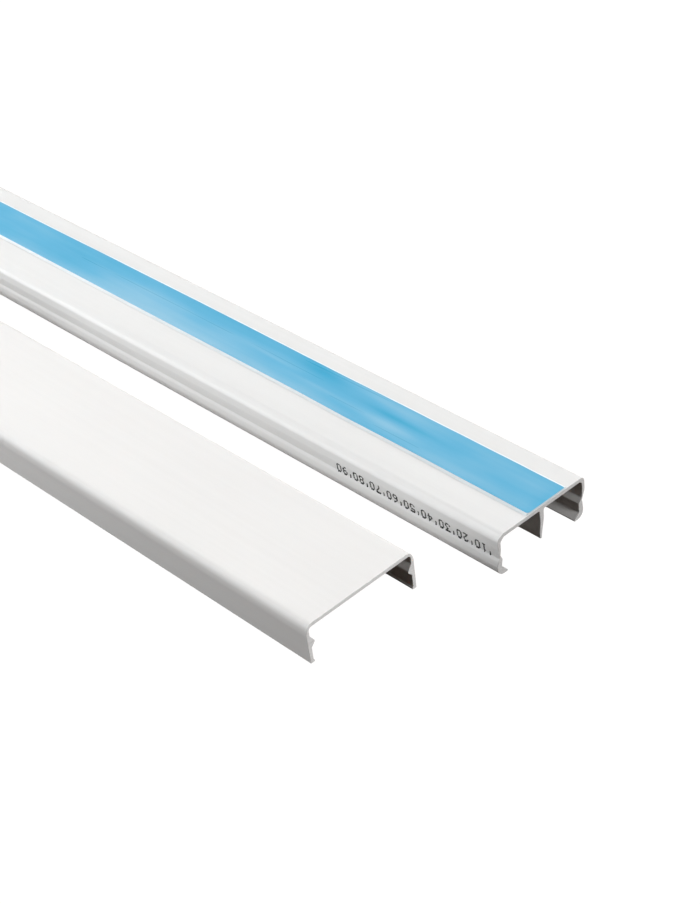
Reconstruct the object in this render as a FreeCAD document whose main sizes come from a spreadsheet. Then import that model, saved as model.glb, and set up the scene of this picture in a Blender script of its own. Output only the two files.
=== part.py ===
import FreeCAD, Part
import Sketcher
import math
import os

# Two-piece surface raceway for cords: a base channel with a divider and a
# peel-and-stick strip on its back, and the cover that snaps over it.  Both are
# extruded stock.  They lie side by side with their open sides down, the back
# of the base up, so that the tape and its release liner are on top.
#
# Millimetres.  X runs along the stock (+X: the two cut ends that are staggered),
# Y across it (-Y: the cover, +Y: the base), Z up.  The origin is on the floor,
# in the middle of the space that both lengths take up.

SIZES = [
    # the stock
    ("stock_length", 762.0),
    ("end_stagger", 20.8),
    ("piece_gap", 26.2),
    # cover section
    ("cover_width", 57.0),
    ("cover_height", 18.5),
    ("cover_wall", 1.65),
    ("cover_web", 1.85),
    ("cover_toe_in", 0.35),
    ("cover_corner", 2.9),
    ("cover_inner_corner", 1.5),
    ("barb_depth", 1.95),
    ("barb_flat", 0.7),
    ("barb_hold", 3.1),
    ("barb_lead", 1.9),
    ("barb_round", 0.3),
    ("edge_rise", 1.4),
    # how the two pieces fit
    ("snap_drop", 7.2),
    ("side_clearance", 1.2),
    ("barb_clearance", 0.65),
    ("edge_clearance", 0.35),
    # base section
    ("base_height", 19.2),
    ("base_wall", 2.0),
    ("base_web", 1.7),
    ("base_lean", 1.5),
    ("base_corner", 2.8),
    ("base_inner_corner", 1.9),
    ("groove_hold", 4.4),
    ("groove_round", 0.7),
    ("foot_inset", 0.4),
    ("foot_drop", 3.0),
    ("foot_corner", 3.5),
    ("toe_reach", 6.0),
    ("toe_root", 4.2),
    ("toe_tip", 0.6),
    ("toe_round", 0.25),
    ("divider_depth", 13.6),
    ("divider_root", 2.4),
    ("divider_tip", 1.0),
    ("divider_fillet", 0.6),
    # tape on the back of the base
    ("tape_width", 20.8),
    ("tape_offset", 3.45),
    ("tape_thick", 0.8),
    ("tape_setback", 0.9),
    ("liner_thick", 0.15),
    ("liner_skew", 0.6),
]

doc = FreeCAD.newDocument("cord_cover_raceway")


def make_sheet():
    """Writes every size into a sheet, one named cell a row."""
    sheet = doc.addObject("Spreadsheet::Sheet", "dimensions")
    for row, (name, value) in enumerate(SIZES, start=1):
        sheet.set("A%d" % row, name)
        sheet.set("B%d" % row, str(value))
        sheet.setAlias("B%d" % row, name)
    return sheet


def size(name):
    """The name by which an expression reads one size."""
    return "dimensions." + name


def make_body(name, centre_x, centre_y):
    """An empty body, shifted along and across the stock by two expressions."""
    body = doc.addObject("PartDesign::Body", name)
    body.Label = name
    body.setExpression("Placement.Base.x", centre_x)
    body.setExpression("Placement.Base.y", centre_y)
    return body


def draw_outline(body, name, plane, corners, height=None):
    """A closed outline of straight lines whose corners are set by expressions."""
    sketch = body.newObject("Sketcher::SketchObject", name)
    planes = [item for item in body.Origin.OriginFeatures if item.Role == plane]
    sketch.AttachmentSupport = [(planes[0], "")]
    sketch.MapMode = "FlatFace"
    if height:
        sketch.setExpression("AttachmentOffset.Base.z", height)
    count = len(corners)
    spots = []
    for index in range(count):
        turn = -2 * math.pi * index / count
        spots.append(FreeCAD.Vector(30 * math.cos(turn), 30 * math.sin(turn), 0))
    for index in range(count):
        line = Part.LineSegment(spots[index], spots[(index + 1) % count])
        sketch.addGeometry(line, False)
    for index, (across, up) in enumerate(corners):
        after = (index + 1) % count
        sketch.addConstraint(Sketcher.Constraint("Coincident", index, 2, after, 1))
        place = (("DistanceX", across, "x"), ("DistanceY", up, "y"))
        for kind, formula, letter in place:
            value = spots[index].x if letter == "x" else spots[index].y
            number = sketch.addConstraint(Sketcher.Constraint(kind, -1, 1, index, 1, value))
            label = "%s%d" % (letter, index)
            sketch.renameConstraint(number, label)
            sketch.setExpression("Constraints." + label, formula)
    return sketch


def pad_outline(body, name, sketch, length, both_ways):
    """Extrudes an outline by a length set by an expression."""
    pad = body.newObject("PartDesign::Pad", name)
    pad.Profile = sketch
    pad.setExpression("Length", length)
    if both_ways:
        pad.Midplane = True
    sketch.Visibility = False
    doc.recompute()
    return pad


def round_corners(body, name, sketch, corners, radius):
    """Rounds the long edges that rise from the numbered corners of the outline."""
    before = body.Tip
    wanted = []
    for index in corners:
        spot = sketch.Geometry[index].StartPoint
        for number, edge in enumerate(before.Shape.Edges, start=1):
            ends = [vertex.Point for vertex in edge.Vertexes]
            if len(ends) < 2 or abs(ends[0].x - ends[1].x) < 1.0:
                continue
            offs = [math.hypot(end.y - spot.x, end.z - spot.y) for end in ends]
            if max(offs) < 1e-4:
                wanted.append("Edge%d" % number)
    fillet = body.newObject("PartDesign::Fillet", name)
    fillet.Base = (before, wanted)
    fillet.setExpression("Radius", radius)
    before.Visibility = False
    doc.recompute()
    return fillet


def both_sides(half):
    """Completes half an outline: the given corners, then their mirror images."""
    mirrored = []
    for across, up in reversed(half):
        mirrored.append(("-(" + across + ")", up))
    return half + mirrored


def lean_over(outline, lean, height):
    """Shifts each corner sideways, from nothing at the top to the full lean at the floor."""
    leaning = []
    for across, up in outline:
        leaning.append(("%s - %s * (1 - (%s) / %s)" % (across, lean, up, height), up))
    return leaning


def mirror_numbers(numbers, count):
    """Corner numbers of one half with those of their mirror images."""
    return list(numbers) + [2 * count - 1 - number for number in numbers]


sheet = make_sheet()
doc.recompute()

BASE_WIDTH = "(%s - 2 * %s - 2 * %s)" % (size("cover_width"), size("cover_wall"), size("side_clearance"))
WIDE_ALL = "(%s + %s + %s)" % (size("cover_width"), size("piece_gap"), BASE_WIDTH)
BASE_X = size("end_stagger") + " / 2"
BASE_Y = "%s / 2 - %s / 2" % (WIDE_ALL, BASE_WIDTH)


def build_base_channel():
    """The base: a flat back, a wall each side that is bent into a groove and a
    turned-in foot, and a divider down the middle.  The walls and the divider
    lean a little to the cover's side, as the stock has relaxed."""
    body = make_body("base_channel", BASE_X, BASE_Y)
    side = BASE_WIDTH + " / 2 - "
    wall = size("base_wall")
    top = size("base_height")
    under = top + " - " + size("base_web")
    groove = size("snap_drop")
    # the barb of the cover, less the room left around it, sets the groove
    inset = "(%s + %s - %s)" % (size("barb_depth"), size("barb_clearance"), size("side_clearance"))
    bend = groove + " + " + size("groove_hold")
    full = groove + " - " + size("foot_drop")
    foot = size("foot_inset")
    half = [
        (BASE_WIDTH + " / 2", top),
        (BASE_WIDTH + " / 2", bend),
        (side + inset, groove),
        (side + foot, full),
        (side + foot, "0"),
        (side + size("toe_reach"), "0"),
        (side + size("toe_reach"), size("toe_tip")),
        (side + foot + " - 1.2 * " + wall, size("toe_root")),
        (side + inset + " - 1.05 * " + wall, groove),
        (side + wall, bend),
        (side + wall, under),
        (size("divider_root") + " / 2", under),
        (size("divider_tip") + " / 2", under + " - " + size("divider_depth")),
    ]
    outline = lean_over(both_sides(half), size("base_lean"), top)
    sketch = draw_outline(body, "base_section", "YZ_Plane", outline)
    pad_outline(body, "base_extrusion", sketch, size("stock_length"), True)
    rounds = (
        ("base_shoulders", (0,), size("base_corner")),
        ("base_feet", (4,), size("foot_corner")),
        ("base_inner_corners", (10,), size("base_inner_corner")),
        ("base_bends", (1, 9), "2 * " + size("groove_round")),
        ("base_grooves", (2, 3, 7, 8), size("groove_round")),
        ("base_toes", (5, 6), size("toe_round")),
        ("divider_root_fillets", (11,), size("divider_fillet")),
        ("divider_edge", (12,), size("divider_tip") + " * 0.4"),
    )
    for name, corners, radius in rounds:
        round_corners(body, name, sketch, mirror_numbers(corners, len(half)), radius)
    return body


def build_cover():
    """The cover: a flat face, two walls that lean in a little to grip, a barb
    inside each wall and a slightly thicker bottom edge."""
    centre_y = "%s / 2 - %s / 2" % (size("cover_width"), WIDE_ALL)
    body = make_body("cover", "-" + size("end_stagger") + " / 2", centre_y)
    side = size("cover_width") + " / 2 - "
    wall = size("cover_wall")
    top = size("cover_height")
    under = top + " - " + size("cover_web")
    catch = under + " - " + size("snap_drop")
    lean = size("cover_toe_in")
    low = side + wall + " - " + lean
    deep = side + wall + " - " + size("barb_depth") + " - 0.5 * " + lean
    bead = side + wall + " - (" + size("side_clearance") + " - " + size("edge_clearance") + ")"
    flat = size("barb_flat") + " / 2"
    half = [
        (size("cover_width") + " / 2", top),
        (side + lean, "0"),
        (bead, "0"),
        (bead, size("edge_rise") + " / 2"),
        (low, size("edge_rise")),
        (low, catch + " - " + flat + " - " + size("barb_lead")),
        (deep, catch + " - " + flat),
        (deep, catch + " + " + flat),
        (side + wall + " - 0.3 * " + lean, catch + " + " + flat + " + " + size("barb_hold")),
        (side + wall, under),
    ]
    sketch = draw_outline(body, "cover_section", "YZ_Plane", both_sides(half))
    pad_outline(body, "cover_extrusion", sketch, size("stock_length"), True)
    rounds = (
        ("cover_shoulders", (0,), size("cover_corner")),
        ("cover_inner_corners", (9,), size("cover_inner_corner")),
        ("cover_edges", (1, 2), "1.5 * " + size("barb_round")),
        ("barb_tips", (6, 7), size("barb_round")),
        ("barb_roots", (5, 8), "2 * " + size("barb_round")),
    )
    for name, corners, radius in rounds:
        round_corners(body, name, sketch, mirror_numbers(corners, len(half)), radius)
    return body


def build_strip(name, level, thick, skew):
    """A strip along the back of the base, its visible end cut at a slant."""
    body = make_body(name, BASE_X, BASE_Y)
    near = size("tape_offset") + " - " + size("tape_width") + " / 2"
    far = size("tape_offset") + " + " + size("tape_width") + " / 2"
    end = size("stock_length") + " / 2 - " + size("tape_setback")
    corners = [
        (end, far),
        (end + " - " + skew, near),
        ("-(" + end + ")", near),
        ("-(" + end + ")", far),
    ]
    sketch = draw_outline(body, name + "_outline", "XY_Plane", corners, level)
    pad_outline(body, name + "_sheet", sketch, thick, False)
    return body


tape_top = size("base_height") + " + " + size("tape_thick")
parts = [
    build_base_channel(),
    build_cover(),
    build_strip("adhesive_tape", size("base_height"), size("tape_thick"), "0.5 * " + size("liner_skew")),
    build_strip("release_liner", tape_top, size("liner_thick"), size("liner_skew")),
]

doc.recompute()
for item in doc.Objects:
    for word in ("Invalid", "Error"):
        if word in item.State:
            raise RuntimeError(item.Name + " is " + word)

os.makedirs("parts", exist_ok=True)
for body in parts:
    if body.Shape.isNull() or not body.Shape.isValid():
        raise RuntimeError(body.Label + " has no valid shape")
    body.Shape.exportStep("parts/" + body.Label + ".step")
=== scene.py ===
import bpy
import math
import numpy as np
from mathutils import Matrix, Vector


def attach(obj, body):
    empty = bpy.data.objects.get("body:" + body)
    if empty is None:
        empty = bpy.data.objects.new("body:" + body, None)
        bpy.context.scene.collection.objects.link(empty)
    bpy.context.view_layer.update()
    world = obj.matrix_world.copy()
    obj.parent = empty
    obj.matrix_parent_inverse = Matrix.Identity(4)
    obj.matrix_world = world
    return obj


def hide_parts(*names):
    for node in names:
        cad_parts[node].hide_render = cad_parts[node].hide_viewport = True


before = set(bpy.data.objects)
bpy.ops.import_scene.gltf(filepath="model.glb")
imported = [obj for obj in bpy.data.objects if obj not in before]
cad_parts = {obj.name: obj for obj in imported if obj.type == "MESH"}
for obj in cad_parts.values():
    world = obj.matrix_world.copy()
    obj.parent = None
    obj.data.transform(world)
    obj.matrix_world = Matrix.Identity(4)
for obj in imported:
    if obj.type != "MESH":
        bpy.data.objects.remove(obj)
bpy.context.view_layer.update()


# Base channel.  One length of rigid white PVC, extruded through a die and cut
# across with a saw.  It lies on its feet, so the flat back that goes against
# the wall is on top; its walls carry the groove that the cover clips into.
BASE_START, BASE_END = -0.3706, 0.3914        # the two cut ends, along X
BASE_MIDDLE = 0.0416                          # middle of the section, along Y
BASE_HEIGHT = 0.0192
BASE_HALF = np.array([                        # half of the section: y, z, corner radius
    (25.42, 19.2, 2.3), (25.27, 12.8, 5.0), (24.15, 8.3, 0.7), (24.7, 7.0, 2.5),
    (25.1, 4.6, 5.0), (25.1, 0.0, 3.6), (19.65, 0.0, 0.25), (19.65, 0.6, 0.25), (22.7, 3.1, 0.9),
    (22.3, 7.3, 0.7), (23.75, 9.6, 0.9), (23.8, 17.5, 1.9), (1.3, 17.5, 0.7),
    (0.5, 3.9, 0.4)]) * 0.001
BASE_LEAN = ((BASE_START, 0.0, BASE_END), (0.0003, 0.0006, 0.0013))    # stations, feet's lean there
LEAN_TOP, LEAN_RUN = 0.014, 0.010             # height where the lean starts, and its run
BASE_DROP = ((BASE_START, 0.0, BASE_END), (0.00025, 0.00042, 0.00070))  # near shoulder's drop there
DROP_EDGE, DROP_RUN = -0.0214, 0.0020         # where the drop starts across the back, and its run
DROP_FOOT, DROP_RISE = 0.0125, 0.005          # height where the drop has faded out, and its run


def whole_section(half):
    """The half section and its mirror image, as corners (y, z) and radii.
    The right half runs from the top down the outside, and the left half runs
    back the same way with y turned to -y; the order is then reversed, so that
    the outline goes anticlockwise seen from +X."""
    left = half[::-1] * (-1, 1, 1)
    both = np.vstack([half, left])[::-1]
    return both[:, :2], both[:, 2]


def rounded_outline(corners, radii, arc_points=7):
    """Outline with every corner replaced by an arc.  The straight sides stop at
    radius / tan(half the corner's angle) from the corner, and the arc's centre
    is on the bisector at radius / sin(half angle); each arc point is centre +
    radius x (cos, sin) of an angle that goes evenly from one side to the other."""
    before = np.roll(corners, 1, axis=0) - corners
    after = np.roll(corners, -1, axis=0) - corners
    before /= np.linalg.norm(before, axis=1, keepdims=True)
    after /= np.linalg.norm(after, axis=1, keepdims=True)
    half_angle = np.arccos(np.clip((before * after).sum(axis=1), -1, 1)) / 2
    bisector = before + after
    bisector /= np.linalg.norm(bisector, axis=1, keepdims=True)
    centre = corners + bisector * (radii / np.sin(half_angle))[:, None]
    stop = (radii / np.tan(half_angle))[:, None]
    first, last = corners + before * stop - centre, corners + after * stop - centre
    start = np.arctan2(first[:, 1], first[:, 0])
    turn = (np.arctan2(last[:, 1], last[:, 0]) - start + math.pi) % (2 * math.pi) - math.pi
    angle = start[:, None] + turn[:, None] * np.linspace(0, 1, arc_points)
    arcs = centre[:, None] + radii[:, None, None] * np.stack([np.cos(angle), np.sin(angle)], -1)
    return arcs.reshape(-1, 2)


def filled_in(outline, step):
    """The same outline with points added along its straights, one every step of
    the way round; points nearer than 0.03 mm to the one before are dropped."""
    closed = np.vstack([outline, outline[:1]])
    way = np.r_[0, np.cumsum(np.linalg.norm(np.diff(closed, axis=0), axis=1))]
    wanted = np.union1d(way[:-1], np.arange(0, way[-1], step))
    wanted = wanted[np.r_[True, np.diff(wanted) > 0.00003]]
    return np.stack([np.interp(wanted, way, side) for side in closed.T], -1)


def outward(outline):
    """Unit normals of an anticlockwise outline: the line from the point before
    to the point after, turned a quarter to the right."""
    along = np.roll(outline, -1, axis=0) - np.roll(outline, 1, axis=0)
    along /= np.linalg.norm(along, axis=1, keepdims=True)
    return np.stack([along[:, 1], -along[:, 0]], -1)


def with_die_lines(outline, sinks, seed, depth=0.000012):
    """Relief that a die leaves along the whole length, always inwards: depth x (1 +
    the mean of six sines of the way round, with random lengths of 0.7 to 5 mm),
    plus a bell-shaped dish, sink x exp(-(distance / reach)^2), at each sink mark."""
    draw = np.random.default_rng(seed)
    way = np.r_[0, np.cumsum(np.linalg.norm(np.diff(outline, axis=0), axis=1))]
    length, phase = draw.uniform(0.0007, 0.005, 6), draw.uniform(0, 2 * math.pi, 6)
    ripple = np.sin(2 * math.pi * way[:, None] / length + phase).mean(axis=1)
    inset = depth * (1 + ripple)
    for y, z, reach, sink in sinks:
        away = np.hypot(outline[:, 0] - y, outline[:, 1] - z)
        inset = inset + sink * np.exp(-(away / reach) ** 2)
    return outline - outward(outline) * inset[:, None]


def drawn_length(outline, start, end, middle, stations=100, eased=0.00013):
    """Rings of points of an extruded length: ring i is the outline at station
    x(i), moved across to the middle.  The first and last rings lie in the cut
    faces and are drawn in by the eased edge, along the outline's normals."""
    small = outline - outward(outline) * eased
    x = np.r_[start, np.linspace(start + eased, end - eased, stations), end]
    rings = np.empty((len(x), len(outline), 3))
    rings[..., 0] = x[:, None]
    rings[..., 1:] = outline + (middle, 0)
    rings[[0, -1], :, 1:] = small + (middle, 0)
    return rings


def made_piece(name, points, faces, creased=True):
    """Mesh and object of these points and faces; where it is creased, edges that
    turn by more than 32 degrees stay sharp and the rest is shaded smooth."""
    mesh = bpy.data.meshes.new(name)
    mesh.from_pydata(points.reshape(-1, 3).tolist(), [], faces)
    mesh.update()
    if creased:
        mesh.set_sharp_from_angle(angle=math.radians(32))
    piece = bpy.data.objects.new(name, mesh)
    bpy.context.scene.collection.objects.link(piece)
    return piece


def solid_from_rings(name, rings):
    """Closed mesh: quads join ring i to ring i + 1 and point j to point j + 1,
    the last point to the first; each end ring is closed by one flat face."""
    count, around = rings.shape[:2]
    first = np.arange(count - 1)[:, None] * around
    here = np.arange(around)[None]
    after = (here + 1) % around
    quads = np.stack([first + here, first + after, first + around + after,
                      first + around + here], -1).reshape(-1, 4)
    last = (count - 1) * around
    faces = quads.tolist() + [list(range(around))[::-1], list(range(last, last + around))]
    return made_piece(name, rings, faces)


class Finish:
    """A material under construction.  node() adds a node with its settings and its
    inputs, each given by the socket's name or, as in i0 or i6, by its number, and
    principled() ends the material with its shader."""

    def __init__(self, name):
        self.material = bpy.data.materials.new(name)
        self.material.use_nodes = True
        self.tree = self.material.node_tree
        self.tree.nodes.clear()

    def node(self, kind, settings=None, **inputs):
        made = self.tree.nodes.new("ShaderNode" + kind)
        for key, value in (settings or {}).items():
            setattr(made, key, value)
        for key, value in inputs.items():
            socket = made.inputs[int(key[1:])] if key[0] == "i" and key[1:].isdigit() else \
                made.inputs[key.replace("_", " ")]
            if isinstance(value, bpy.types.NodeSocket):
                self.tree.links.new(value, socket)
            else:
                socket.default_value = value
        return made.outputs

    def noise(self, where, stretch, detail=2.0, roughness=0.5):
        """Cloudy pattern of object coordinates, each axis multiplied by its stretch."""
        place = self.node("Mapping", Vector=where, Scale=stretch)
        return self.node("TexNoise", Vector=place["Vector"], Scale=1.0, Detail=detail,
                         Roughness=roughness)["Fac"]

    def spread(self, value, low, high, to_low, to_high):
        """Straight-line change of range, held at its two ends."""
        return self.node("MapRange", Value=value, From_Min=low, From_Max=high,
                         To_Min=to_low, To_Max=to_high)["Result"]

    def sum_of(self, a, b, operation="ADD"):
        """a + b, or another operation on the two."""
        return self.node("Math", {"operation": operation}, i0=a, i1=b)["Value"]

    def blend(self, share, a, b):
        """Colour a where share is 0 and colour b where it is 1."""
        return self.node("Mix", {"data_type": "RGBA"}, i0=share, i6=a, i7=b)[2]

    def bump(self, height, distance, strength, below=None):
        """Normal bent by a height, on top of the bump below it if there is one."""
        wires = {"Height": height, "Distance": distance, "Strength": strength}
        if below is not None:
            wires["Normal"] = below
        return self.node("Bump", **wires)["Normal"]

    def principled(self, **inputs):
        shader = self.node("BsdfPrincipled", **inputs)
        self.node("OutputMaterial", Surface=shader["BSDF"])
        return self.material


def white_pvc(name, light, dark, cut, start, end, shift, skew=0.0):
    """Satin white extruded PVC: long faint streaks along X and broad clouds vary
    tone and gloss, fine lines and a grain of 0.2 mm give relief, and the faces
    within 0.2 mm of a cut end, where x + skew * y is the start or the end, are
    given darker greys as painted shade, with the saw's scratches mixing the two."""
    pvc = Finish(name)
    where = pvc.node("TexCoord")["Object"]
    moved = pvc.node("Mapping", Vector=where, Location=shift)["Vector"]
    streaks = pvc.noise(moved, (4, 330, 330), 4.0, 0.62)
    clouds = pvc.noise(moved, (11, 26, 26), 3.0, 0.5)
    grain = pvc.noise(moved, (4200, 4200, 4200), 1.0, 0.5)
    scuffs = pvc.noise(moved, (90, 640, 640), 3.0, 0.7)
    scratch = pvc.noise(moved, (900, 500, 4200), 2.0, 0.6)
    x = pvc.node("VectorMath", {"operation": "DOT_PRODUCT"}, i0=where, i1=(1.0, skew, 0.0))["Value"]
    off = pvc.sum_of(x, (start + end) / 2, "SUBTRACT")
    far = pvc.node("Math", {"operation": "ABSOLUTE"}, i0=off)["Value"]
    at_cut = pvc.spread(far, (end - start) / 2 - 0.0002, (end - start) / 2 - 0.0001, 0, 1)
    share = pvc.sum_of(pvc.spread(streaks, 0.3, 0.7, 0, 0.5),
                       pvc.spread(clouds, 0.3, 0.7, 0, 0.5))
    tone = pvc.blend(share, light, dark)
    # Painted shade: the cut faces take darker greys than the body; the saw's scratches mix the two
    # greys.
    cut_face_shade = pvc.blend(pvc.spread(scratch, 0.35, 0.65, 0, 1), cut[0], cut[1])
    colour = pvc.blend(at_cut, tone, cut_face_shade)
    gloss = pvc.sum_of(pvc.spread(streaks, 0.3, 0.7, 0.46, 0.54),
                       pvc.spread(scuffs, 0.4, 0.75, 0, 0.07))
    rough = pvc.node("Mix", i0=at_cut, i2=gloss, i3=0.68)[0]
    lines = pvc.bump(streaks, 0.00004, 0.22)
    skin = pvc.bump(grain, 0.00001, 0.10, lines)
    sawn = pvc.bump(pvc.sum_of(scratch, at_cut, "MULTIPLY"), 0.00008, 0.5, skin)
    return pvc.principled(Base_Color=colour, Roughness=rough, Normal=sawn, IOR=1.52,
                          Specular_IOR_Level=0.35, Subsurface_Weight=0.10,
                          Subsurface_Radius=(0.0012, 0.0010, 0.0009), Subsurface_Scale=1.0)


base_corners, base_radii = whole_section(BASE_HALF)
base_outline = filled_in(rounded_outline(base_corners, base_radii), 0.0006)
base_outline = with_die_lines(base_outline, [
    (0.0, 0.0192, 0.0022, 0.00005),           # over the divider
    (0.0231, 0.0192, 0.0011, 0.00006)], seed=11)    # where the web runs into the far wall
base_rings = drawn_length(base_outline, BASE_START, BASE_END, BASE_MIDDLE)


def lean_at(x, z):
    """Sideways lean of the walls: the value at the feet, which eases off along the
    length, times a soft step 3t^2 - 2t^3, where t is how far z is below the
    lean's top as a share of its run, held between 0 and 1."""
    below = np.clip((LEAN_TOP - z) / LEAN_RUN, 0, 1)
    return np.interp(x, *BASE_LEAN) * below ** 2 * (3 - 2 * below)


def drop_at(x, y, z):
    """How far the near shoulder lies below the flat back: the value for the station,
    times a soft step 3t^2 - 2t^3, where t is how far y is past the drop's edge as
    a share of its run, times the height over the drop's foot as a share of its
    rise, both held between 0 and 1."""
    past = np.clip((DROP_EDGE - y) / DROP_RUN, 0, 1)
    high = np.clip((z - DROP_FOOT) / DROP_RISE, 0, 1)
    return np.interp(x, *BASE_DROP) * past ** 2 * (3 - 2 * past) * high


base_x, base_y, base_z = np.moveaxis(base_rings.copy(), -1, 0)
base_rings[..., 1] -= lean_at(base_x, base_z)
base_rings[..., 2] -= drop_at(base_x, base_y - BASE_MIDDLE, base_z)
base = solid_from_rings("base_body", base_rings)
# The two greys for the cut faces are painted shade.
base.data.materials.append(white_pvc(
    "white_pvc_base", (0.80, 0.795, 0.785, 1), (0.76, 0.755, 0.745, 1),
    ((0.49, 0.485, 0.48, 1), (0.39, 0.385, 0.38, 1)), BASE_START, BASE_END, (0, 0, 0)))
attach(base, "root")
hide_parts("base_channel")


# Adhesive tape.  A strip of white closed-cell foam, 0.8 mm thick, laid by hand
# off a roll along the back of the base, so it wanders a little and its corner
# at the cut end is rounded.  Only its cut sides show, under the liner.
TAPE_START, TAPE_END = -0.3697, 0.3912
TAPE_TOP = BASE_HEIGHT + 0.0008
SLIT_NEAR = ((BASE_START, 0.06, 0.16, 0.255, 0.285, 0.32, BASE_END),    # stations, and y there
             (0.0350, 0.0352, 0.0349, 0.0349, 0.0344, 0.0344, 0.0341))
SLIT_FAR = ((BASE_START, 0.06, 0.10, 0.20, 0.26, 0.30, BASE_END),
            (0.0553, 0.0553, 0.0556, 0.0557, 0.0554, 0.0556, 0.0555))


def strip_edges(start, end, spread, corners, seed, wander=0.0001, count=260):
    """The near and the far edge of a strip seen from above.  Each goes straight
    from station to station, moved out by its spread and by a random wave, and
    towards the +X end it is drawn in by radius - sqrt(radius^2 - u^2), where u
    is how far the point is past the corner's start."""
    draw = np.random.default_rng(seed)
    corner = max(corners)
    x = np.r_[np.linspace(start, end - corner, count), end - corner + corner * np.sin(
        np.linspace(0, math.pi / 2, 14))[1:]]
    past = np.clip(x - (end - corner), 0, corner)
    edges = []
    for radius, out in zip(corners, spread):
        length, phase = draw.uniform(0.02, 0.2, 3), draw.uniform(0, 2 * math.pi, 3)
        wave = np.sin(2 * math.pi * x[:, None] / length + phase).mean(axis=1)
        late = np.clip((past - (corner - radius)) / radius, 0, 1) * radius
        edges.append(wander * wave - out + radius - np.sqrt(radius ** 2 - late ** 2))
    return (np.stack([x, np.interp(x, *SLIT_NEAR) + edges[0]], -1),
            np.stack([x, np.interp(x, *SLIT_FAR) - edges[1]], -1))


def raised_strip(name, near, far, bottom, top, slope, eased):
    """A thin strip: rings of its outline at heights bottom, a third of the way up,
    top - eased and top.  On the way up the long sides draw in by the slope and
    the ends by 0.3 of it, and the last ring by the eased edge too.  Its upper and
    lower faces are ladders of quads from one long edge to the other."""
    outline = np.vstack([near, far[::-1]])
    out = outward(outline)
    inset = out * (0.3, 1.0) * slope
    layers = [(outline, bottom), (outline - inset / 3, (2 * bottom + top) / 3),
              (outline - inset, top - eased), (outline - inset - out * eased, top)]
    rings = np.stack([np.c_[flat, np.full(len(flat), z)] for flat, z in layers])
    around = rings.shape[1]
    first = np.arange(3)[:, None] * around
    here = np.arange(around)[None]
    after = (here + 1) % around
    sides = np.stack([first + here, first + after, first + around + after,
                      first + around + here], -1).reshape(-1, 4)
    rung = np.arange(around // 2 - 1)
    across = np.stack([rung, rung + 1, around - 2 - rung, around - 1 - rung], -1)
    faces = np.vstack([sides, across + 3 * around, across[:, ::-1]])
    return made_piece(name, rings, faces.tolist())


def foam_finish():
    """White foam: cells of 0.3 mm give relief and painted shade in their pores, its colour carries
    a painted tint of blue light from the liner that varies in cloudy stretches, and the cut end is
    grey."""
    foam = Finish("white_foam")
    where = foam.node("TexCoord")["Object"]
    cells = foam.node("TexVoronoi", Vector=where, Scale=3300.0)["Distance"]
    clouds = foam.noise(where, (40, 40, 40), 2.0, 0.5)
    # Its bluish tones are a painted tint of blue light from the liner, mixed by the clouds.
    body = foam.blend(foam.spread(clouds, 0.35, 0.65, 0, 1),
                      (0.90, 0.935, 0.955, 1), (0.85, 0.91, 0.94, 1))
    x = foam.node("SeparateXYZ", Vector=where)["X"]
    at_cut = foam.spread(x, TAPE_END - 0.0008, TAPE_END - 0.0004, 0, 1)
    grey = foam.blend(at_cut, body, (0.50, 0.55, 0.57, 1))
    # Painted shade: the pores between the cells are darker and bluer.
    pore_shade = foam.spread(cells, 0.1, 0.45, 0.2, 0)
    colour = foam.blend(pore_shade, grey, (0.56, 0.66, 0.71, 1))
    rough = foam.spread(cells, 0.0, 0.6, 0.85, 0.7)
    return foam.principled(Base_Color=colour, Roughness=rough, IOR=1.45,
                           Normal=foam.bump(cells, 0.0001, 0.6), Subsurface_Weight=0.3,
                           Subsurface_Radius=(0.002, 0.002, 0.002), Subsurface_Scale=1.0)


tape_near, tape_far = strip_edges(TAPE_START, TAPE_END, spread=(0.0011, 0.0015),
                                  corners=(0.0018, 0.0014), seed=5)
tape = raised_strip("tape_body", tape_near, tape_far, BASE_HEIGHT, TAPE_TOP, slope=0.0010,
                    eased=0.00008)
tape.data.materials.append(foam_finish())
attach(tape, "root")
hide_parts("adhesive_tape")


# Release liner.  A sky-blue silicone-coated film, 0.15 mm thick, still on the
# tape.  It was slit with the tape, and it has faint lengthwise creases and
# cloudy places where it has lifted off the adhesive.
LINER_TOP = TAPE_TOP + 0.00015
FILM_MARKS = np.array([                       # x, y, half length, half width (mm), slant, tone
    (40, 41, 32, 5, 0.00, 0.20), (65, 49, 40, 6, 0.00, 0.25), (122, 41, 30, 6, 0.02, -0.60),
    (172, 52, 34, 5, -0.03, 0.60), (255, 51, 17, 4.5, -0.14, 1.40),
    (210, 42, 34, 7, 0.00, -0.55), (228, 46, 13, 0.9, -0.04, -0.60),
    (264, 42.4, 19, 0.8, -0.01, -0.60), (300, 52.5, 18, 2.6, 0.00, -0.75),
    (308, 46.6, 23, 1.7, -0.02, 1.10), (304, 41, 17, 2.6, 0.00, -0.95),
    (338, 46, 14, 6, 0.00, 0.55), (391, 45, 3, 14, 0.00, 0.40), (158, 37, 40, 5, 0.00, -0.70),
    (140, 36, 250, 2.0, 0.00, -0.60)])


def film_tone(x, y):
    """Depth of the film's tone: for each mark, its depth x exp(-(u^2 + v^2)),
    where u and v are the distances along and across the mark, as shares of its
    half length and half width, and the mark runs at its slant; all are summed."""
    along = x[..., None] * 1000 - FILM_MARKS[:, 0]
    across = y[..., None] * 1000 - FILM_MARKS[:, 1] - along * FILM_MARKS[:, 4]
    bell = np.exp(-(along / FILM_MARKS[:, 2]) ** 2 - (across / FILM_MARKS[:, 3]) ** 2)
    return (FILM_MARKS[:, 5] * bell).sum(axis=-1)


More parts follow.
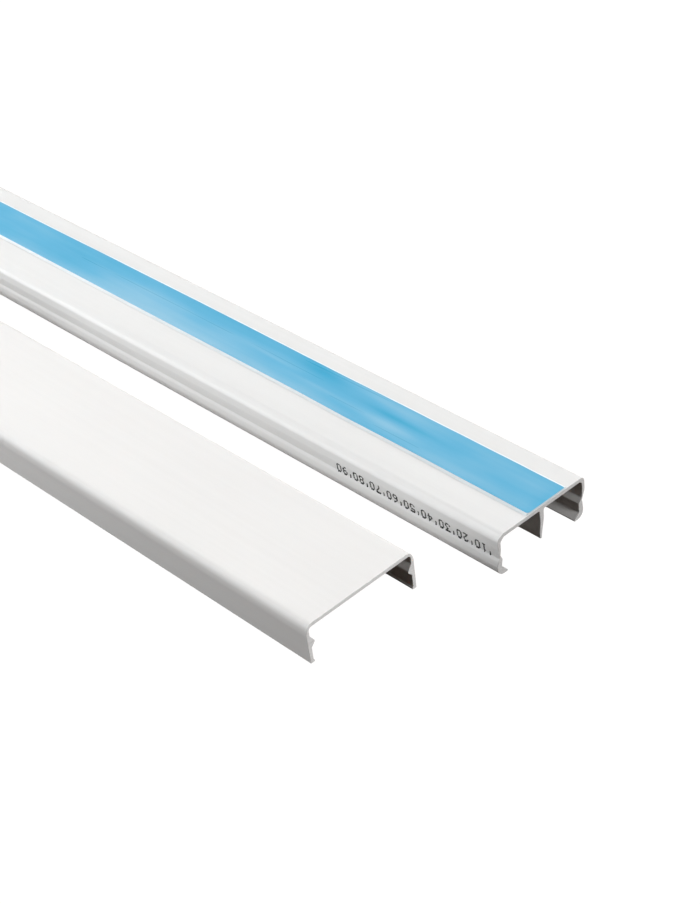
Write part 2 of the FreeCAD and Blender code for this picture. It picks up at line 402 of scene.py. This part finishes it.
def film_sheet(name, near, far, bottom, top, columns=40, lift=0.00004):
    """Two grids of quads, one above the other, that run straight across from the
    near edge to the far one, and a band of quads round their rim.  The upper one
    lies below the top by the lift x (1 + tanh(tone)) / 2; the tone is kept as
    an attribute of the points."""
    share = np.linspace(0, 1, columns + 1)[None, :, None]
    flat = near[:, None] * (1 - share) + far[:, None] * share
    tone = film_tone(flat[..., 0], flat[..., 1])
    upper = np.dstack([flat, top - lift * (1 + np.tanh(tone)) / 2])
    lower = np.dstack([flat, np.full(tone.shape, bottom)])
    grid = np.arange(tone.size).reshape(tone.shape)
    cells = np.stack([grid[:-1, :-1], grid[1:, :-1], grid[1:, 1:], grid[:-1, 1:]], -1)
    cells = cells.reshape(-1, 4)
    rim = np.r_[grid[:, 0], grid[-1, 1:], grid[-2::-1, -1], grid[0, -2:0:-1]]
    ahead = np.roll(rim, -1)
    band = np.stack([rim + tone.size, ahead + tone.size, ahead, rim], -1)
    faces = np.vstack([cells, cells[:, ::-1] + tone.size, band])
    piece = made_piece(name, np.stack([upper, lower]), faces.tolist())
    depth = piece.data.attributes.new("tone", "FLOAT", "POINT")
    depth.data.foreach_set("value", np.tile(tone.ravel(), 2))
    return piece


def film_finish():
    """Blue film: its tone is the sum of the marks, broad clouds and faint streaks
    along X, paler where it is low and deeper where it is high; the streaks also
    vary the gloss, and clouds and streaks bend it a little."""
    film = Finish("sky_blue_film")
    where = film.node("TexCoord")["Object"]
    marks = film.node("Attribute", {"attribute_name": "tone"})["Fac"]
    clouds = film.noise(where, (16, 75, 1), 2.0, 0.5)
    streaks = film.noise(where, (5, 260, 1), 2.0, 0.55)
    loose = film.sum_of(film.spread(clouds, 0.3, 0.7, -0.45, 0.45),
                        film.spread(streaks, 0.3, 0.7, -0.18, 0.18))
    tone = film.sum_of(marks, loose)
    pale = film.blend(film.spread(tone, -1.3, 0.1, 0, 1),
                      (0.300, 0.570, 0.745, 1), (0.142, 0.466, 0.690, 1))
    colour = film.blend(film.spread(tone, 0.1, 1.6, 0, 1), pale, (0.037, 0.375, 0.600, 1))
    rough = film.spread(streaks, 0.3, 0.7, 0.26, 0.36)
    shape = film.bump(clouds, 0.0006, 0.10)
    return film.principled(Base_Color=colour, Roughness=rough, IOR=1.5, Coat_Weight=0.12,
                           Coat_Roughness=0.15, Normal=film.bump(streaks, 0.0001, 0.08, shape))


film_near, film_far = strip_edges(TAPE_START + 0.0003, TAPE_END - 0.0001, spread=(0, 0),
                                  corners=(0.0014, 0.0004), seed=5)
liner = film_sheet("liner_body", film_near, film_far, TAPE_TOP, LINER_TOP)
liner.data.materials.append(film_finish())
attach(liner, "root")
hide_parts("release_liner")


# Printed marks.  A scale in millimetres, numbered every 10 mm from the cut end
# and jetted in dots of black ink on the base's near wall, over the groove.  It
# reads the right way up when the base is turned over, so here it is upside down.
DIGITS = {                                    # seven rows of five dots, top row first
    0: "01110100011000110001100011000101110",
    1: "00100011000010000100001000010001110", 2: "01110100010000100010001000100011111",
    3: "11111000100010000010000011000101110", 4: "00010001100101010010111110001000010",
    5: "11111100001111000001000011000101110", 6: "00110010001000011110100011000101110",
    7: "11111000010001000100010000100001000", 8: "01110100011000101110100011000101110",
    9: "01110100011000101111000010001001100"}
DOT_RADIUS, DOT_ACROSS, DOT_DOWN = 0.00043, 0.00052, 0.00060
DOT_POINTS = 10                               # points round a dot
MARKS_LOW = 0.0083                            # height of the lowest row of dots
SCALE_STEP, DIGIT_STEP = 0.010, 0.0036        # from number to number, from digit to digit
PRINTED_WALL = (-0.0240, 0.0070, 0.0150)      # near wall: y below the first, z between the rest


def dot_places():
    """(x, z) of every dot.  Column c of a digit is c x DOT_ACROSS towards -X from
    the digit's first column, and row r is r x DOT_DOWN up from the lowest row; each
    number is two digits, and half a step before it stands a bar of three dots."""
    places = []
    for number in range(1, 10):
        for side, digit in ((0.5, number), (-0.5, 0)):
            lit = np.array(list(DIGITS[digit])).reshape(7, 5) == "1"
            row, column = np.nonzero(lit)
            start = BASE_END - number * SCALE_STEP + side * DIGIT_STEP + 2 * DOT_ACROSS
            places.append(np.c_[start - column * DOT_ACROSS, MARKS_LOW + row * DOT_DOWN])
        rise = MARKS_LOW + np.arange(3) * DOT_DOWN
        places.append(np.c_[np.full(3, BASE_END - (number - 0.5) * SCALE_STEP), rise])
    return np.vstack(places)


def ink_dots(name, places):
    """Low domes of ink, one a place: a ring of points just over the wall and a
    smaller ring 0.02 mm further out, each closed by a flat face.  The wall's own
    outline gives every dot's y and the direction that it stands out in."""
    near, low, high = PRINTED_WALL
    across, up = base_outline.T
    wall = base_outline[(across < near) & (up > low) & (up < high)]
    wall = wall[np.argsort(wall[:, 1])]
    slope = np.gradient(wall[:, 0], wall[:, 1])
    draw = np.random.default_rng(3)
    places = places + draw.normal(0, 0.00003, places.shape)
    x, z = places[:, :1], places[:, 1:]
    turn = np.linspace(0, 2 * math.pi, DOT_POINTS, endpoint=False)
    radius = DOT_RADIUS * draw.uniform(0.8, 1.1, (len(places), 1))
    layers = []
    for share, proud in ((1.0, 0.000005), (0.8, 0.000025)):
        xs = x + share * radius * np.cos(turn)
        zs = z + share * radius * np.sin(turn)
        ys = np.interp(zs, wall[:, 1], wall[:, 0])
        out = np.interp(zs, wall[:, 1], slope)
        length = np.hypot(1, out)
        ys, zs = ys - proud / length, zs + proud * out / length
        layers.append(np.stack([xs, ys + BASE_MIDDLE - lean_at(xs, zs), zs], -1))
    points = np.stack(layers, 1)
    ring = np.arange(DOT_POINTS)
    ahead = (ring + 1) % DOT_POINTS
    side = np.stack([ring, ahead, ahead + DOT_POINTS, ring + DOT_POINTS], -1)
    origin = np.arange(len(places)) * 2 * DOT_POINTS
    faces = (side + origin[:, None, None]).reshape(-1, 4).tolist()
    faces += (ring + DOT_POINTS + origin[:, None]).tolist()
    faces += (ring[::-1] + origin[:, None]).tolist()
    return made_piece(name, points, faces, creased=False)


def ink_finish():
    """Thin black ink that soaks in unevenly, so it is greyer in places."""
    ink = Finish("jetted_ink")
    where = ink.node("TexCoord")["Object"]
    soak = ink.noise(where, (1500, 1500, 1500), 2.0, 0.6)
    colour = ink.blend(ink.spread(soak, 0.35, 0.7, 0, 1),
                       (0.008, 0.008, 0.009, 1), (0.035, 0.034, 0.035, 1))
    return ink.principled(Base_Color=colour, Roughness=ink.spread(soak, 0.3, 0.7, 0.45, 0.7),
                          IOR=1.45, Normal=ink.bump(soak, 0.00001, 0.3))


marks = ink_dots("scale_marks", dot_places())
marks.data.materials.append(ink_finish())
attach(marks, "root")


# Cover.  One length of the same white PVC, laid face up beside the base, with soft
# shoulders, walls that draw in a little towards their edges, and a barb inside each
# that clips into the base's groove.  The saw has cut it nearly a degree out of square.
COVER_START, COVER_END = -0.3915, 0.3704      # where the two cuts would meet y = 0
COVER_SKEW = 0.0150                           # how far a cut moves along X for each metre of -Y
COVER_MIDDLE = -0.03875
COVER_HALF = np.array([                       # half of the section: y, z, corner radius
    (27.2, 18.5, 3.4), (28.32, 14.2, 11.0), (28.15, 0.0, 0.4), (26.0, 0.0, 0.4),
    (26.0, 0.7, 0.2), (26.5, 1.4, 0.4), (26.5, 7.2, 0.6), (24.725, 9.1, 0.3),
    (24.725, 9.8, 0.3), (26.745, 12.9, 0.6), (26.85, 16.85, 1.5)]) * 0.001
COVER_WIDTH = 0.0570
COVER_SPRING = ((-0.3914, 0.3706), (0.0004, 0.0011))    # stations, opening of the far wall there

cover_corners, cover_radii = whole_section(COVER_HALF)
cover_outline = filled_in(rounded_outline(cover_corners, cover_radii), 0.0011)
cover_outline = with_die_lines(cover_outline, [
    (-0.0283, 0.0102, 0.0016, 0.00004),       # sink marks outside the barbs
    (0.0283, 0.0102, 0.0016, 0.00004)], seed=23)
cover_rings = drawn_length(cover_outline, COVER_START, COVER_END, COVER_MIDDLE)


def spring_at(x, y):
    """How far the cover has sprung open, towards +Y: a value that grows along the
    length, times the share of the width between the near wall and the point."""
    return np.interp(x, *COVER_SPRING) * np.clip((y - COVER_MIDDLE) / COVER_WIDTH + 0.5, 0, 1)


cover_rings[..., 0] -= COVER_SKEW * cover_rings[..., 1]
cover_rings[..., 1] += spring_at(cover_rings[..., 0], cover_rings[..., 1])
cover = solid_from_rings("cover_body", cover_rings)
# The two greys for the cut faces are painted shade, lighter than on the base.
cover.data.materials.append(white_pvc(
    "white_pvc_cover", (0.825, 0.812, 0.798, 1), (0.79, 0.777, 0.763, 1),
    ((0.59, 0.585, 0.58, 1), (0.47, 0.465, 0.46, 1)), COVER_START, COVER_END, (0.7, 0.3, 0.1),
    COVER_SKEW))
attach(cover, "root")
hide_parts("cover")


# Studio.  The pieces lie on a plain sheet.  Slightly cool soft boxes at the left in
# front light the walls, large ones above, behind and at the right light tops and
# ends, and two small cards between the pieces light the base's near wall.
paper = bpy.data.meshes.new("floor_sheet")
reach = 6.0
paper.from_pydata([(-reach, -reach, 0), (reach, -reach, 0), (reach, reach, 0), (-reach, reach, 0)],
                  [], [(0, 1, 2, 3)])
floor = bpy.data.objects.new("floor_sheet", paper)
bpy.context.scene.collection.objects.link(floor)
# The sheet throws little light back, so the open channels stay dark; to the
# camera it glows, so that it looks white.
sheet = Finish("white_paper")
fibre = sheet.noise(sheet.node("TexCoord")["Object"], (60, 60, 60), 4.0, 0.6)
shade = sheet.blend(sheet.spread(fibre, 0.3, 0.7, 0, 1),
                    (0.070, 0.050, 0.038, 1), (0.058, 0.041, 0.031, 1))
matte = sheet.node("BsdfDiffuse", Color=shade)["BSDF"]
lift = sheet.node("Emission", Color=(1, 1, 1, 1), Strength=1.0)["Emission"]
seen = sheet.node("LightPath")["Is Camera Ray"]
glow = sheet.node("AddShader", i0=matte, i1=lift)["Shader"]
sheet.node("OutputMaterial", Surface=sheet.node("MixShader", i0=seen, i1=matte, i2=glow)["Shader"])
floor.data.materials.append(sheet.material)

# The room gives a trace of light from everywhere, and looks white past the sheet.
world = bpy.data.worlds.new("studio")
world.use_nodes = True
bpy.context.scene.world = world
room = world.node_tree.nodes["Background"]
room.inputs["Color"].default_value = (1.0, 1.0, 1.0, 1)
room.inputs["Strength"].default_value = 0.03
backdrop = world.node_tree.nodes.new("ShaderNodeBackground")
backdrop.inputs["Color"].default_value = (1.0, 1.0, 1.0, 1)
in_view = world.node_tree.nodes.new("ShaderNodeLightPath")
either = world.node_tree.nodes.new("ShaderNodeMixShader")
join = world.node_tree.links.new
join(in_view.outputs["Is Camera Ray"], either.inputs[0])
join(room.outputs["Background"], either.inputs[1])
join(backdrop.outputs["Background"], either.inputs[2])
join(either.outputs["Shader"], world.node_tree.nodes["World Output"].inputs["Surface"])


def soft_box(name, place, aim, width, height, watts, colour=(1, 1, 1)):
    """A rectangular lamp at place that faces the point aim."""
    lamp = bpy.data.lights.new(name, "AREA")
    lamp.shape, lamp.size, lamp.size_y = "RECTANGLE", width, height
    lamp.energy, lamp.color = watts, colour
    box = bpy.data.objects.new(name, lamp)
    box.location = place
    box.rotation_mode = "QUATERNION"
    box.rotation_quaternion = (Vector(aim) - Vector(place)).to_track_quat("-Z", "Y")
    bpy.context.scene.collection.objects.link(box)
    return box


soft_box("left_front", (-0.70, -0.60, 0.34), (0.15, 0.0, 0.0), 0.5, 0.5, 7.0, (0.95, 0.98, 1.0))
soft_box("front", (-0.35, -0.85, 0.45), (0.15, 0.0, 0.0), 0.5, 0.5, 3.45, (0.97, 0.985, 1.0))
soft_box("high_front", (0.10, -1.41, 1.41), (0.1, 0.0, 0.0), 0.9, 0.9, 1.5)
soft_box("overhead", (0.0, -0.05, 2.0), (0.1, 0.0, 0.0), 0.9, 0.9, 9.4)
soft_box("behind", (0.10, 2.62, 1.39), (0.1, 0.0, 0.0), 1.4, 1.4, 51)
soft_box("right", (7.34, 1.03, 3.0), (0.2, 0.0, 0.0), 2.2, 2.2, 625)
for name, x, y, width, watts in (("gap_card", 0.08, -0.0078, 0.62, 0.0068),
                                 ("gap_card_end", 0.25, -0.0074, 0.28, 0.0050)):
    card = soft_box(name, (x, y, 0.0140), (x, 0.02, 0.0140), width, 0.009, watts, (0.96, 0.98, 1.0))
    card.visible_camera = False

# The camera looks down on the cut ends from the right; the long side of the
# picture is 904 pixels and matches the camera's 36 mm film width.
FOCAL_PIXELS, LONG_SIDE, FILM = 2054.36, 904, 36.0
CAMERA_PLACE = (0.84066, -0.41464, 0.51759)
TURN, HEIGHT, ROLL = math.radians(51.0), math.radians(35.87), math.radians(7.53)
back = Vector((math.sin(TURN) * math.cos(HEIGHT), -math.cos(TURN) * math.cos(HEIGHT),
               math.sin(HEIGHT)))
right = (-back).cross(Vector((0, 0, 1))).normalized()
down = (-back).cross(right)
side = right * math.cos(ROLL) + down * math.sin(ROLL)
below = down * math.cos(ROLL) - right * math.sin(ROLL)
lens = bpy.data.cameras.new("camera")
lens.sensor_fit, lens.sensor_width, lens.lens = "AUTO", FILM, FOCAL_PIXELS * FILM / LONG_SIDE
lens.clip_start, lens.clip_end = 0.01, 50
camera = bpy.data.objects.new("camera", lens)
bpy.context.scene.collection.objects.link(camera)
turned = Matrix((side, -below, back)).transposed().to_4x4()
camera.matrix_world = Matrix.Translation(CAMERA_PLACE) @ turned
bpy.context.scene.camera = camera
bpy.context.scene.view_settings.view_transform = "Standard"
bpy.context.scene.view_settings.look = "None"
